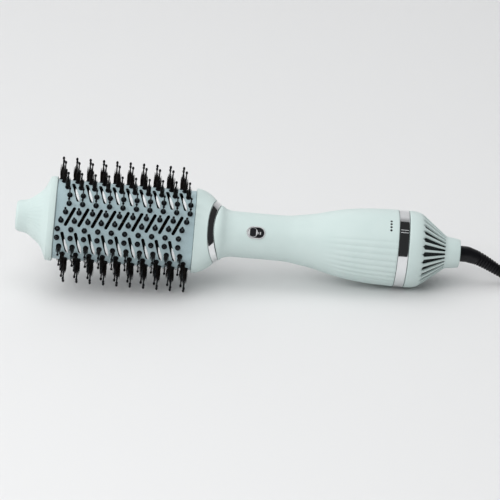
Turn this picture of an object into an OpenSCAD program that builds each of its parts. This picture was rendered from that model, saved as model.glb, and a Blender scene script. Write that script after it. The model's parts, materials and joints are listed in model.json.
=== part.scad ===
/* [Barrel] */
// Width of the oval barrel, edge to edge
barrel_w = 64; // [60:1:68]
// Thickness of the barrel, flat face to flat face
barrel_t = 36; // [36:0.5:38]
// Radius of the two narrow edges
edge_r = 17.2; // [16.8:0.1:17.4]
// Wall of the coated metal sleeve
sleeve_wall = 1; // [0.8:0.1:1.2]
// Length of the barrel sleeve
sleeve_len = 110.8; // [110.8:0.1:112]

/* [Bristles] */
// Rows of bristles around the barrel
rows = 24; // [24]
// Tufts in a row
tufts = 10; // [8:1:10]
// Distance between two tufts of a row
tuft_pitch = 10.72; // [10:0.1:10.8]
// How far the rows are shifted along the barrel in waves
wave = 4.1; // [0:0.1:4.1]
// Height of a ball-tipped pin above the sleeve
pin_len = 18.4; // [12:0.1:20]
// Diameter of the ball on a pin
ball_d = 1.9; // [1.6:0.1:2.2]

/* [Nose cap and shoulder] */
// Diameter of the nose tip
nose_d = 24; // [20:1:28]
// How far the rims stand out from the sleeve
rim_proud = 1.9; // [1:0.1:2.5]
// Wall of the moulded shells
shell_wall = 2.2; // [1.8:0.1:2.4]

/* [Handle] */
// Diameter of the slim neck
neck_d = 36.8; // [36:0.2:38]
// Diameter of the handle at the selector ring
grip_d = 61.8; // [60:0.2:62]
// Angle between two settings of the selector ring
setting_turn = 5.4; // [4:0.2:6]
// Travel of the slide switch
switch_travel = 4.9; // [3:0.1:4.9]
// Slots around the air intake
intake_slots = 28; // [20:1:28]

/* [Cord] */
// Diameter of the mains cord
cord_d = 6.5; // [6:0.1:7]
// Turns in the stored coil
coil_turns = 6.6; // [6.6]
// Distance between two turns of the coil
coil_pitch = 6.6; // [6.6:0.1:7]
// Distance between the two pins of the plug
plug_pitch = 19; // [19]
// Diameter of a plug pin
plug_pin_d = 4.8; // [4:0.8:4.8]
// Length of a plug pin
plug_pin_len = 19; // [19]

/* [Hidden] */
row_names = [for (k = [1:rows]) str("bristle_strip_", k)];

// All stations are millimetres along the brush from the nose tip.
// The brush frame has X along the brush, Z out of the switch side.
sleeve_s = 31.5;
first_tuft = 37.9;
row_flat = 5;             // flat under each row of tufts
boss_r = 2.2;             // tuft boss
boss_gap = 0.15;          // around a boss, in its hole
column_slots = 8;         // air slots around the barrel
board_half = 10.6;        // half width of the crossed heater boards
slot_w = 2.7;
slot_len = 17.2;
wave_rows = 8;            // rows in one wave

// Oval section: two edge arcs and two wide face arcs, all tangent
edge_c = barrel_w / 2 - edge_r;
face_r = (edge_c ^ 2 + (barrel_t / 2) ^ 2 - edge_r ^ 2) / (barrel_t - 2 * edge_r);
face_turn = asin(edge_c / (face_r - edge_r));
face_len = face_r * face_turn * PI / 180;
edge_len = edge_r * (180 - 2 * face_turn) * PI / 180;
around = 4 * face_len + 2 * edge_len;
row_pitch = around / rows;

// Seams of the chrome front ring: further back at the edges than at the faces
seam_a = 152.9;
seam_a_dip = 6.5;
seam_b = 158.1;
seam_b_dip = 5.4;
seam_y = 20.7;            // half width of the ring's inner side at that seam

// Stations of the smooth outlines, each [station, half width]
nose_width = [[0, 1], [9, 2.7], [14, 5.8], [18.5, 9.2], [21.5, 12.8], [24, 17.6], [25.7, 21.2], [27, 21.85]];
shoulder_width = [[142.5, 34], [147, 33.4], [152, 31.3], [156, 28.6], [159.4, 25.6], [163.5, 22.3]];
shoulder_depth = [[142.5, 20], [147, 20.1], [152, 20.5], [156, 21.1], [159.4, 21.7], [163.5, 22.3]];
grip_shape = [[167, 19.9], [171, 18.8], [176, neck_d / 2], [214, neck_d / 2], [228, 20.1], [240, 22.2],
    [252, 25.3], [265, 28], [277, 29.5], [289, 30.4], [304.9, grip_d / 2]];
handle_shape = concat([[157, 22.6], [163.5, 22.3]], grip_shape);
grip_end = 304.9;
boss_h = 12;              // screw bosses of the front half
screw_r = 1.2;
head_z = 4;               // depth of the screw heads' seats below the split
ring_s = 305.25;
ring_end = 313.15;
tail_s = 313.5;
cone_s = 326;
cone_end = 346;
collar_end = 356.6;
collar_r = 12.5;
duct_s = 260;             // front edge of the fan duct
motor_r = 12;

// How the brush lies: on its lowest bristle tips and the heel of the handle
face_up = 32;             // how far the switch side looks above the horizontal
tip_drop = edge_c * cos(face_up) + edge_r + pin_len;
heel_s = 318;
heel_r = grip_d / 2 - 0.15;
tip_s = first_tuft + (tufts - 1) * tuft_pitch;
pitch = atan((tip_drop - heel_r) / (heel_s - tip_s));
axis_h = heel_s * sin(pitch) + heel_r * cos(pitch);
mid_x = ((collar_end * cos(pitch) + 11 * sin(pitch)) - nose_d / 2 * sin(pitch)) / 2;

// Cord, in the frame of the surface it lies on: route points chosen by hand
cord_r = cord_d / 2;
coil_at = [318, 18];
coil_in = 26;             // bend radius of the innermost turn
lead_route = [[213.5, 0, 9.5], [219, 0, 6.3], [226, 0, 4.2], [236, 0, 3.4], [249, -0.8, 3.3],
    [262, -3.6, 3.3], [274, -9.2, 3.3], [282, -14.6, 3.3], [288.6, -19.7, 3.3]];
tail_route = [[320, 65.8, 9.9], [306, 64.4, 10.5], [293, 59, 11.8], [283, 51.5, 13.2], [275, 42, 14.7],
    [270, 30, 16], [269, 18, 16.6], [272, 4, 17], [278, -5, 17.6], [287, -11, 18.6], [298, -14, 19.8],
    [309, -13, 21], [319, -8, 21.6]];
relief_route = [[186, 0, 25.5], [192, 0, 23.2], [198, 0, 19.8], [204, 0, 15.9], [210, 0, 11.8],
    [213.5, 0, 9.5]];
coil_wide = coil_pitch * coil_turns / 2 + cord_d;
coil_tall = coil_pitch + cord_d;
tie_turn = 66;
plug_at = [319, -8, 21.6];
plug_half = 8.4;          // half the thickness of the plug
plug_turn = 36;
plug_body_at = 22;        // from the cord entry to the moulded body
plug_body_len = 42;
pin_root = plug_body_at + plug_body_len;

// Shapes

function sgn_pow(x, p) = sign(x) * pow(abs(x), p);
function blend(a, b, t) = a + (b - a) * t;
function spline(a, b, c, d, t) =
    0.5 * (2 * b + (c - a) * t + (2 * a - 5 * b + 4 * c - d) * t ^ 2 + (3 * b - a - 3 * c + d) * t ^ 3);
function smooth(p, n) = [
    for (i = [0:len(p) - 2]) for (k = [0:n - 1])
        spline(p[max(i - 1, 0)], p[i], p[i + 1], p[min(i + 2, len(p) - 1)], k / n),
    p[len(p) - 1]];
// Half width at a station, read off a list of [station, half width]
function reading(p, s) = lookup(s, smooth(p, 6));

function oval_angle(u) =
    let (v = (u + around) % around, half = around / 2, low = v >= half, w = low ? v - half : v)
    (low ? 180 : 0) + (w < face_len ? w / face_r * 180 / PI
        : w < face_len + edge_len ? face_turn + (w - face_len) / edge_r * 180 / PI
        : 180 - (half - w) / face_r * 180 / PI);
// Point [y, z] of the oval where its outward normal is turned by a from +Z
function oval_point(a, out = 0) =
    abs(cos(a)) > cos(face_turn)
        ? [0, -sign(cos(a)) * (face_r - barrel_t / 2)] + (face_r + out) * [sin(a), cos(a)]
        : [sign(sin(a)) * edge_c, 0] + (edge_r + out) * [sin(a), cos(a)];
function oval_outline(out) = [
    for (k = [0:rows - 1]) for (e = [-1, 1])
        oval_point(oval_angle((k + 0.5) * row_pitch + e * row_flat / 2), out)];

module spin(points) rotate([0, 90, 0]) rotate_extrude($fn = 96) polygon(points);
module along(s, len) translate([s, 0, 0]) rotate([0, 90, 0]) linear_extrude(len) children();
// A slab across the brush with the oval's outline; the section's y and z are turned to match
module oval_slab(s, len, out)
    along(s, len) polygon([for (p = oval_outline(out)) [-p[1], p[0]]]);
module rod(s, len, r, fn = 48) translate([s, 0, 0]) rotate([0, 90, 0]) cylinder(h = len, r = r, $fn = fn);
module on_row(u)
    let (a = oval_angle(u), p = oval_point(a))
        translate([0, p[0], p[1]]) rotate([-a, 0, 0]) children();

function section(s, a, b, n, sides) = [
    for (i = [0:sides - 1]) let (t = 360 * i / sides)
        [s, a * sgn_pow(cos(t), 2 / n), b * sgn_pow(sin(t), 2 / n)]];
// A closed skin over a chain of rings; looped, it joins its last ring to its first
module skin(rings, looped = false) {
    m = len(rings[0]);
    n = len(rings);
    last = looped ? n - 1 : n - 2;
    sides = [for (i = [0:last]) for (j = [0:m - 1])
        let (a = i * m + j, b = i * m + (j + 1) % m, c = ((i + 1) % n) * m)
            for (t = [[a, b, c + (j + 1) % m], [a, c + (j + 1) % m, c + j]]) t];
    caps = looped ? [] : [[for (j = [m - 1:-1:0]) j], [for (j = [0:m - 1]) (n - 1) * m + j]];
    polyhedron([for (r = rings) for (p = r) p], concat(sides, caps), convexity = 8);
}
function unit(v) = v / norm(v);
// Rings square to a route, for a tube of the given radii
function tube_rings(route, radii, sides) = [
    for (i = [0:len(route) - 1])
        let (t = unit(route[min(i + 1, len(route) - 1)] - route[max(i - 1, 0)]),
            side = unit(cross(t, [0, 0, 1])), up = cross(side, t))
                [for (j = [0:sides - 1]) let (q = 360 * (j + 0.5) / sides)
                    route[i] + radii[i] * (cos(q) * side + sin(q) * up)]];

// Placing

module on_axis() translate([-mid_x, 0, axis_h]) rotate([0, pitch, 0]) children();
module lay() on_axis() rotate([90 - face_up, 0, 0]) children();

// Barrel

function row_shift(k) = wave * sin(360 * (k + 0.5) / wave_rows);

module nose_cap() color([0.84, 0.89, 0.88]) lay() {
    grown = barrel_w / 2 + rim_proud - nose_d / 2;
    flat = (barrel_t / 2 + rim_proud - nose_d / 2) / grown;
    deep = [for (p = smooth(nose_width, 3)) [p[0], max(p[1] - 1, 0) / 20.85 * grown]];
    lip = [31.3, grown];
    outer = [for (p = concat(deep, [lip]))
        section(p[0], nose_d / 2 + p[1], nose_d / 2 + p[1] * flat, 2 + 0.5 * p[1] / grown, 64)];
    inner = [for (p = concat(deep, [lip])) if (p[0] > 3)
        section(max(p[0], 3) + (p[0] < 31 ? 1.6 : 0), nose_d / 2 + p[1] - shell_wall,
            nose_d / 2 + p[1] * flat - shell_wall, 2 + 0.5 * p[1] / grown, 64)];
    n = len(inner);
    skin(concat(inner, [for (i = [len(outer) - 1:-1:0]) outer[i]]));
}

module front_bulkhead() color([0.16, 0.17, 0.18]) lay() difference() {
    oval_slab(31.6, 3.4, -3.4);
    rod(31, 5, 6);
}

module barrel_sleeve() color([0.60, 0.69, 0.71]) lay() difference() {
    oval_slab(sleeve_s, sleeve_len, 0);
    oval_slab(sleeve_s - 1, sleeve_len + 2, -sleeve_wall);
    for (k = [0:rows - 1]) on_row((k + 0.5) * row_pitch)
        for (i = [0:tufts - 1]) translate([first_tuft + i * tuft_pitch + row_shift(k), 0, -3])
            cylinder(h = 6, r = boss_r + boss_gap, $fn = 24);
    for (c = [0:column_slots - 1]) on_row(c * rows / column_slots * row_pitch)
        for (i = [0:tufts - 2]) air_slot(c * rows / column_slots, i);
}

// One slanted air slot between two columns of tufts; it follows the wave of the rows
module air_slot(j, i) {
    slant = atan(wave * 2 * PI / wave_rows * cos(360 * j / wave_rows) / row_pitch);
    shift = wave * sin(360 * j / wave_rows);
    half = slot_len / 2 - slot_w / 2;
    translate([first_tuft + (i + 0.5) * tuft_pitch + shift, 0, -6]) rotate([0, 0, -slant])
        linear_extrude(12) polygon([for (e = [0, 180]) for (q = [0:36:180])
            (e == 0 ? 1 : -1) * ([0, half] + slot_w / 2 * [cos(q), sin(q)])]);
}

module rear_bulkhead() color([0.16, 0.17, 0.18]) lay() difference() {
    union() {
        oval_slab(139.2, 3, -3.4);
        rod(141, 33, 15.8, 96);
    }
    rod(138, 40, 13.6, 96);
}

module air_guide() color([0.93, 0.94, 0.94]) lay() difference() {
    oval_slab(35.3, 103.6, -4.4);
    oval_slab(35, 105, -5.6);
    for (c = [0:column_slots - 1]) on_row(c * rows / column_slots * row_pitch)
        for (i = [0:tufts - 2]) translate([first_tuft + (i + 0.5) * tuft_pitch - 2, -3, -9]) cube([3, 6, 9]);
}

module bristle_strip(k) color([0.05, 0.06, 0.07]) lay() on_row((k + 0.5) * row_pitch) {
    first = first_tuft + row_shift(k);
    pin_base = 1;
    pin_top = pin_len - ball_d / 2;
    translate([first - 2.4, -2.2, -2.9]) cube([(tufts - 1) * tuft_pitch + 4.8, 4.4, 1.5]);
    for (i = [0:tufts - 1]) translate([first + i * tuft_pitch, 0, 0]) {
        translate([0, 0, -2]) cylinder(h = 2 + pin_base, r = boss_r, $fn = 24);
        translate([0, 0, pin_base - 0.2])
            cylinder(h = pin_top - pin_base + 0.2, r1 = 0.75, r2 = 0.5, $fn = 16);
        translate([0, 0, pin_top]) sphere(r = ball_d / 2, $fn = 16);
    }
}

// Heater

module mica_boards() color([0.78, 0.70, 0.55]) lay() {
    translate([35.2, -board_half, -0.4]) cube([104, 2 * board_half, 0.8]);
    for (z = [0.5, -board_half]) translate([35.2, -0.4, z]) cube([104, 0.8, board_half - 0.5]);
}

module heater_wire() color([0.55, 0.50, 0.45]) lay() for (i = [0:9]) translate([78 + 6 * i, 0, 0])
    rotate([0, 90, 0]) rotate_extrude($fn = 48) translate([board_half + 0.8, 0]) circle(r = 0.6, $fn = 16);

module thermal_cutouts() color([0.72, 0.71, 0.68]) lay() {
    translate([138, 4, 1]) cube([9, 5, 4]);
    translate([137, -6, 3]) rotate([0, 90, 0]) cylinder(h = 11, r = 1.7, $fn = 24);
}

// Shoulder and front ring

function shoulder_ring(t, inset, from_dip, to_dip, from_s, to_s, dips) = [
    for (i = [0:63]) let (q = 360 * i / 64, c = cos(q) ^ 2,
        s = blend(from_s + from_dip * c, to_s + to_dip * c, t),
        a = reading(shoulder_width, s) - inset, b = reading(shoulder_depth, s) - inset,
        n = blend(2.5, 2, min(1, (s - 142.5) / 18)))
            [s, a * sgn_pow(cos(q), 2 / n), b * sgn_pow(sin(q), 2 / n)]];

module seam_skin(from_s, from_dip, to_s, to_dip, steps, wall)
    skin(concat(
        [for (k = [0:steps]) shoulder_ring(k / steps, 0, from_dip, to_dip, from_s, to_s)],
        [for (k = [steps:-1:0]) shoulder_ring(k / steps, wall, from_dip, to_dip, from_s, to_s)]),
        looped = true);

module shoulder() color([0.80, 0.87, 0.85]) lay() seam_skin(142.5, 0, seam_a, seam_a_dip, 7, shell_wall);

module front_ring() color([0.75, 0.77, 0.79]) lay()
    seam_skin(seam_a + 0.15, seam_a_dip, seam_b - 0.15, seam_b_dip, 3, 1.6);

// Handle

module handle_solid(inset) {
    outer = smooth(handle_shape, 2);
    spin(concat([[0, outer[0][0]]], [for (p = outer) [p[1] - inset, p[0]]], [[0, grip_end]]));
}

screw_at = [[228, 12.5], [228, -12.5], [296, 23.6], [296, -23.6]];

// Half of the handle's shell, side 1 to the front; the screw bosses stand inside it
module handle_half(side) difference() {
    intersection() {
        handle_solid(0);
        translate([140, -50, side > 0 ? 0.05 : -60.05]) cube([200, 100, 60]);
    }
    difference() {
        handle_solid(shell_wall);
        for (p = screw_at) translate([p[0], p[1], side > 0 ? 0 : -20])
            cylinder(h = side > 0 ? boss_h : 20, r = side > 0 ? 2.9 : 3.6, $fn = 32);
    }
    seam_cut();
}

// Cuts the front edge of the handle to the seam of the chrome ring
module seam_cut() {
    y_max = 24;
    edge = [for (y = [-y_max:3:y_max]) [seam_b + seam_b_dip * min(1, (y / seam_y) ^ 2), y]];
    translate([0, 0, -40]) linear_extrude(80)
        polygon(concat([[150, -y_max]], edge, [[150, y_max]]));
}

module handle_front() color([0.82, 0.89, 0.87]) lay() difference() {
    handle_half(1);
    translate([switch_s, 0, 10]) switch_pill(30, switch_half + 0.1, switch_r + 0.9);
    for (p = screw_at) translate([p[0], p[1], -1]) cylinder(h = 9, r = screw_r + 0.05, $fn = 24);
}

module handle_back() color([0.82, 0.89, 0.87]) lay() difference() {
    handle_half(-1);
    for (p = screw_at) translate([p[0], p[1], -40]) {
        cylinder(h = 41, r = 1.6, $fn = 24);
        cylinder(h = 40 - head_z, r = 2.9, $fn = 24);
    }
}

module handle_screws() color([0.45, 0.46, 0.48]) lay() for (p = screw_at) translate([p[0], p[1], 0])
    difference() {
        union() {
            translate([0, 0, -head_z - 0.1]) cylinder(h = 11, r = screw_r, $fn = 24);
            translate([0, 0, -head_z - 2]) cylinder(h = 2, r = 2.6, $fn = 24);
        }
        for (q = [0, 90]) rotate(q) translate([-1.5, -0.3, -head_z - 2.1]) cube([3, 0.6, 1.1]);
    }

// Switch and electronics

switch_s = 191.7;
switch_half = 2.45;       // half the straight part of the pill
switch_r = 4.3;
knob_r = 3.9;

module switch_pill(h, half, r) linear_extrude(h) polygon([for (e = [0, 180]) for (q = [-90:15:90])
    (e == 0 ? 1 : -1) * ([half, 0] + r * [cos(q), sin(q)])]);

module switch_bezel() color([0.72, 0.74, 0.76]) lay() translate([switch_s, 0, 0]) difference() {
    translate([0, 0, 15]) switch_pill(3.7, switch_half, switch_r + 0.7);
    translate([0, 0, 16.4]) switch_pill(4, switch_half, switch_r);
    translate([-4.2, -1.4, 14]) cube([8.4, 2.8, 4]);
}

module switch_knob() color([0.08, 0.09, 0.10]) lay() translate([switch_s - switch_travel / 2, 0, 0]) {
    translate([0, 0, 16.7]) cylinder(h = 1.7, r = knob_r, $fn = 48);
    translate([0, 0, 18.4]) cylinder(h = 0.5, r1 = knob_r, r2 = knob_r - 0.6, $fn = 48);
    translate([-1, -1, 13.2]) cube([2, 2, 3.6]);
}

module switch_body() color([0.12, 0.12, 0.13]) lay() translate([switch_s, 0, 0]) difference() {
    translate([-8, -3.5, 6.8]) cube([16, 7, 7.9]);
    translate([-4.2, -1.4, 12.6]) cube([8.4, 2.8, 3]);
}

module control_board() color([0.18, 0.36, 0.24]) lay() translate([177, -14.5, 5.2]) cube([37, 29, 1.6]);

module ion_emitter() color([0.10, 0.10, 0.11]) lay() {
    translate([186, -6, -2.8]) cube([24, 12, 8]);
    translate([180, 0, 1.2]) rotate([0, 90, 0]) cylinder(h = 6.5, r = 0.8, $fn = 16);
}

// Fan

module fan_duct() color([0.20, 0.21, 0.22]) lay() {
    difference() {
        union() {
            rod(duct_s, 30, 24.2, 96);
            for (q = [45:90:315]) rotate([q, 0, 0]) translate([duct_s + 8, -1, 23.8]) cube([12, 2, 2.2]);
        }
        rod(duct_s - 1, 32, 23.2, 96);
    }
    difference() {
        union() {
            rod(duct_s - 6, 20, 13.6);
            for (q = [0:60:300]) rotate([q, 0, 0]) translate([duct_s, 12.6, -0.6]) cube([12, 11, 1.2]);
        }
        rod(duct_s - 7, 22, motor_r + 0.05);
    }
}

module motor() color([0.62, 0.63, 0.65]) lay() difference() {
    union() {
        rod(duct_s - 16, 28, motor_r);
        rod(duct_s + 12, 2.5, 4);
    }
    rod(duct_s - 18, 34, 1.2, 32);
}

module motor_shaft() color([0.78, 0.79, 0.80]) lay() rod(duct_s - 19, 46, 1.15, 32);

module impeller() color([0.90, 0.91, 0.90]) lay() difference() {
    union() {
        rod(duct_s + 17, 9, 6);
        for (q = [0:360 / 7:359]) rotate([q, 0, 0]) translate([duct_s + 21.5, 5.5, 0]) rotate([0, 35, 0])
            translate([-4.5, 0, -0.5]) cube([9, 16.6, 1]);
    }
    rod(duct_s + 12, 16, 1.15, 32);
}

// Selector and tail

spigot_r = 28.2;
tab_at = -60;             // where the ring's tab passes through the spigot
slot_phase = 0.18;        // turn of the intake slots against the switch side, in slots
tab_way = spigot_r * sin(3 * setting_turn);

module selector_ring() color([0.75, 0.77, 0.79]) lay() {
    difference() {
        rod(ring_s, ring_end - ring_s, grip_d / 2, 96);
        rod(ring_s - 1, ring_end - ring_s + 2, spigot_r + 0.08, 96);
    }
    rotate([tab_at, 0, 0]) translate([307.2, -1.6, 24.8]) cube([3.6, 3.2, 4.2]);
}

module selector_wiper() color([0.80, 0.62, 0.30]) lay() rotate([tab_at, 0, 0]) translate([306.6, -2.2, 23.9])
    cube([4.8, 4.4, 0.9]);

module selector_board() color([0.18, 0.36, 0.24]) lay() rotate([tab_at - 8, 0, 0])
    translate([303, -14.2, 20.6]) cube([12, 28.4, 1.6]);

module tail_grille() color([0.81, 0.88, 0.85]) lay() difference() {
    spin([[26.4, 300.5], [spigot_r, 300.5], [spigot_r, tail_s], [grip_d / 2, tail_s], [30.75, heel_s],
        [30.3, 321], [29.6, 324], [28.5, cone_s], [collar_r, cone_end], [12.2, 351], [11, collar_end],
        [6.9, collar_end], [6.9, 354], [9.05, 354], [9.05, 346], [10.2, 345], [25.8, 325.2], [26.4, 322]]);
    for (i = [0:intake_slots - 1]) rotate([360 * (i + slot_phase) / intake_slots, 0, 0]) intake_slot();
    rotate([tab_at, 0, 0]) translate([306, -4.5, 24]) cube([6, 9 + tab_way, 8]);
}

// One slot of the intake: round and wide at the shoulder, narrow at the collar
module intake_slot() {
    wide = 1.9 * 28 / intake_slots;
    slim = 0.6;
    translate([0, 0, 8]) linear_extrude(26) polygon(concat(
        [for (q = [90:30:270]) [327 + wide * cos(q), wide * sin(q)]], [[344.2, -slim], [344.2, slim]]));
}

module intake_screen() color([0.30, 0.31, 0.32]) lay()
    spin([[22.6, 325.6], [22.6, 325], [25.3, 325], [9.6, 344.9], [9.6, 344]]);

// Cord and its swivel

module swivel_rotor() color([0.09, 0.09, 0.10]) on_axis() difference() {
    union() {
        rod(346.5, 7.1, 9);
        rod(334, 12.6, 4.6);
    }
    rod(333, 22, 3.3);
}

module slip_rings() color([0.80, 0.62, 0.30]) on_axis() for (s = [336, 341]) difference() {
    rod(s, 3, 5.4);
    rod(s - 1, 5, 4.6);
}

module strain_relief() color([0.06, 0.06, 0.07]) {
    root = [collar_end * cos(pitch) - mid_x, 0, axis_h - collar_end * sin(pitch)];
    fall = [cos(pitch), 0, -sin(pitch)];
    skin(tube_rings(concat([root - 2.8 * fall, root + 6 * fall], relief_route),
        [6.4, 6.3, 6.3, 6, 5.6, 5.1, 4.6, 4.2], 16));
}

module cord_lead() color([0.06, 0.06, 0.07])
    skin(tube_rings(lead_route, [for (p = lead_route) cord_r], 8));

module cord_coil() color([0.06, 0.06, 0.07]) translate([coil_at[0], coil_at[1], 0]) {
    low = coil_in - cord_r;
    high = low + coil_wide;
    rotate_extrude($fn = 96) polygon([[low, 1.5], [low + 1.5, 0], [high - 1.5, 0], [high, 1.5],
        [high, coil_tall - 1.5], [high - 1.5, coil_tall], [low + 1.5, coil_tall], [low, coil_tall - 1.5]]);
}

module cord_tail() color([0.06, 0.06, 0.07])
    skin(tube_rings(tail_route, [for (p = tail_route) cord_r], 8));

// Band around the bundle of turns
module cord_tie() color([0.10, 0.10, 0.11]) translate([coil_at[0], coil_at[1], 0]) rotate(tie_turn)
    difference() {
        translate([coil_in - cord_r - 1, -5, 0]) cube([coil_wide + 2, 10, coil_tall + 1]);
        translate([coil_in - cord_r - 0.05, -6, -1]) cube([coil_wide + 0.1, 12, coil_tall + 1.05]);
    }

module on_plug() translate(plug_at) rotate(plug_turn) children();

module plug_body() color([0.07, 0.07, 0.08]) on_plug() {
    side = [[0, 3.4], [plug_body_at, 5.6], [plug_body_at + 3, 9.5], [plug_body_at + 10, 13],
        [pin_root - 12, 17.6], [pin_root, 18]];
    rings = [for (p = side) [for (i = [0:31]) let (q = 360 * i / 32, n = p[1] < 6 ? 2 : 3)
        [p[0], p[1] * sgn_pow(cos(q), 2 / n), min(p[1], plug_half) * sgn_pow(sin(q), 2 / n)]]];
    skin(rings);
}

module plug_pins() color([0.78, 0.78, 0.80]) on_plug() for (e = [-1, 1])
    translate([pin_root, e * plug_pitch / 2, 0]) rotate([0, 90, 0])
        cylinder(h = plug_pin_len, r = plug_pin_d / 2, $fn = 48);

nose_cap();
front_bulkhead();
barrel_sleeve();
rear_bulkhead();
air_guide();
mica_boards();
heater_wire();
thermal_cutouts();
shoulder();
front_ring();
handle_front();
handle_back();
handle_screws();
switch_bezel();
switch_knob();
switch_body();
control_board();
ion_emitter();
fan_duct();
motor();
motor_shaft();
impeller();
selector_ring();
selector_wiper();
selector_board();
tail_grille();
intake_screen();
swivel_rotor();
slip_rings();
strain_relief();
cord_lead();
cord_coil();
cord_tail();
cord_tie();
plug_body();
plug_pins();
for (k = [0:rows - 1]) bristle_strip(k);
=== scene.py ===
import json
import math

import bmesh
import bpy
import numpy as np
from mathutils import Matrix, Vector


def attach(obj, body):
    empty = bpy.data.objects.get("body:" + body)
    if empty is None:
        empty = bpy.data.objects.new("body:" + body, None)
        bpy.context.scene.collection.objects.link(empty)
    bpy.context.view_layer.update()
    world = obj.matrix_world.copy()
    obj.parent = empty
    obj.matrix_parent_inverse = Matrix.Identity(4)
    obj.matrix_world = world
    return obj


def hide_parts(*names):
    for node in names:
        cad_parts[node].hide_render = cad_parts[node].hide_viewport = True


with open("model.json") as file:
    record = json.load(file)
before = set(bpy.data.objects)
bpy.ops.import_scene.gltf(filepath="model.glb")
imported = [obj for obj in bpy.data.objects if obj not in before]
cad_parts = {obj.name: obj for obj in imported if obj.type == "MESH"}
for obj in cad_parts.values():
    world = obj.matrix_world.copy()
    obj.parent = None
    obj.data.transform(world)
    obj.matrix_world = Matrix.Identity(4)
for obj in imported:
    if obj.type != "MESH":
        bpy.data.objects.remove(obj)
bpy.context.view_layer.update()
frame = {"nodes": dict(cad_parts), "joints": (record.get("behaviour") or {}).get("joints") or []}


# Pieces are built in mm with X along the brush and Z out of the switch side
placing = {"swivelStation": 350, "faceUp": 32}


def brushRest():
    swivel = next(j for j in frame["joints"] if j["name"] == "cord_swivel")
    along = Vector(swivel["axis"]).normalized()
    upright = Vector((-along.z, 0, along.x))
    sideways = Vector((0, 1, 0))
    roll = math.radians(90 - placing["faceUp"])
    wide = sideways * math.cos(roll) + upright * math.sin(roll)
    outward = upright * math.cos(roll) - sideways * math.sin(roll)
    rest = Matrix((along, wide, outward)).transposed().to_4x4()
    rest.translation = Vector(swivel["pos_m"]) - along * placing["swivelStation"] / 1000
    return rest @ Matrix.Scale(0.001, 4)


onBrush = brushRest()
onTable = Matrix.Scale(0.001, 4)    # mm in the frame of the surface


view = {"elevation": 24, "distance": 2.45, "lens": 220, "aim": (0.0095, -0.0049, 0.0323)}


def newObject(name, data):
    item = bpy.data.objects.new(name, data)
    bpy.context.scene.collection.objects.link(item)
    return item


def addCamera():
    tilt = math.radians(view["elevation"])
    camera = newObject("camera", bpy.data.cameras.new("camera"))
    back = Vector((0, -math.cos(tilt), math.sin(tilt))) * view["distance"]
    camera.location = Vector(view["aim"]) + back
    camera.rotation_euler = (math.pi / 2 - tilt, 0, 0)
    camera.data.lens = view["lens"]
    camera.data.clip_start = 0.05
    bpy.context.scene.camera = camera


addCamera()


def newPiece(name, verts, faces, material, rest=onBrush, sharp=35):
    mesh = bpy.data.meshes.new(name)
    mesh.from_pydata([tuple(v) for v in verts], [], faces)
    piece = newObject(name, mesh)
    tidyMesh(mesh, rest, sharp)
    mesh.materials.append(material)
    return piece


def smoothTo(mesh, sharp):
    mesh.shade_smooth()
    mesh.set_sharp_from_angle(angle=math.radians(sharp))


def tidyMesh(mesh, rest, sharp=35, merge=0.001):
    edit = bmesh.new()
    edit.from_mesh(mesh)
    bmesh.ops.remove_doubles(edit, verts=edit.verts, dist=merge)
    bmesh.ops.recalc_face_normals(edit, faces=edit.faces)
    edit.to_mesh(mesh)
    edit.free()
    mesh.transform(rest)
    smoothTo(mesh, sharp)


def loft(rings, looped=False, capped=False):
    m = len(rings[0])
    n = len(rings)
    verts = [p for ring in rings for p in ring]
    last = n if looped else n - 1
    faces = []
    for i in range(last):
        for j in range(m):
            a, b = i * m + j, i * m + (j + 1) % m
            c = ((i + 1) % n) * m
            faces.append((a, b, c + (j + 1) % m, c + j))
    if capped:
        faces.append(tuple(range(m - 1, -1, -1)))
        faces.append(tuple((n - 1) * m + j for j in range(m)))
    return verts, faces


def patchShell(outer, inner):
    # two open grids of points, joined along all four borders
    n, m = len(outer), len(outer[0])
    verts = [p for row in outer for p in row] + [p for row in inner for p in row]
    far = n * m
    faces = []
    for i in range(n - 1):
        for j in range(m - 1):
            a, b, c, d = i * m + j, i * m + j + 1, (i + 1) * m + j + 1, (i + 1) * m + j
            faces.append((a, b, c, d))
            faces.append((far + d, far + c, far + b, far + a))
    border = [(i * m, (i + 1) * m) for i in range(n - 1)]
    border += [((i + 1) * m + m - 1, i * m + m - 1) for i in range(n - 1)]
    border += [(j + 1, j) for j in range(m - 1)]
    border += [((n - 1) * m + j, (n - 1) * m + j + 1) for j in range(m - 1)]
    faces += [(a, b, far + b, far + a) for a, b in border]
    return verts, faces


def joined(parts):
    # several (verts, faces) as one
    verts, faces = [], []
    for partVerts, partFaces in parts:
        faces += [tuple(i + len(verts) for i in face) for face in partFaces]
        verts += partVerts
    return verts, faces


def turnSteps(count):
    return [2 * math.pi * j / count for j in range(count)]


def squarish(q, a, b, power):
    # a point on a rounded oval that grows squarer with the power
    return a * signedPower(math.cos(q), 2 / power), b * signedPower(math.sin(q), 2 / power)


def circle(radius, z, sides, shift=0):
    return [(radius * math.cos(q) + shift, radius * math.sin(q), z) for q in turnSteps(sides)]


def cosDeg(angle):
    return math.cos(math.radians(angle))


def sinDeg(angle):
    return math.sin(math.radians(angle))


def evaluatedMesh(item):
    graph = bpy.context.evaluated_depsgraph_get()
    graph.update()
    return bpy.data.meshes.new_from_object(item.evaluated_get(graph))


def finishWith(piece, kind, **settings):
    # adds one modifier, then keeps its result as the plain mesh
    modifier = piece.modifiers.new(kind.lower(), kind)
    for key, value in settings.items():
        setattr(modifier, key, value)
    baked = evaluatedMesh(piece)
    piece.modifiers.clear()
    piece.data = baked


def cutOut(piece, verts, faces):
    cutter = newPiece("cutter", verts, faces, piece.data.materials[0])
    finishWith(piece, "BOOLEAN", object=cutter, operation="DIFFERENCE", solver="EXACT")
    bpy.data.objects.remove(cutter)


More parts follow.
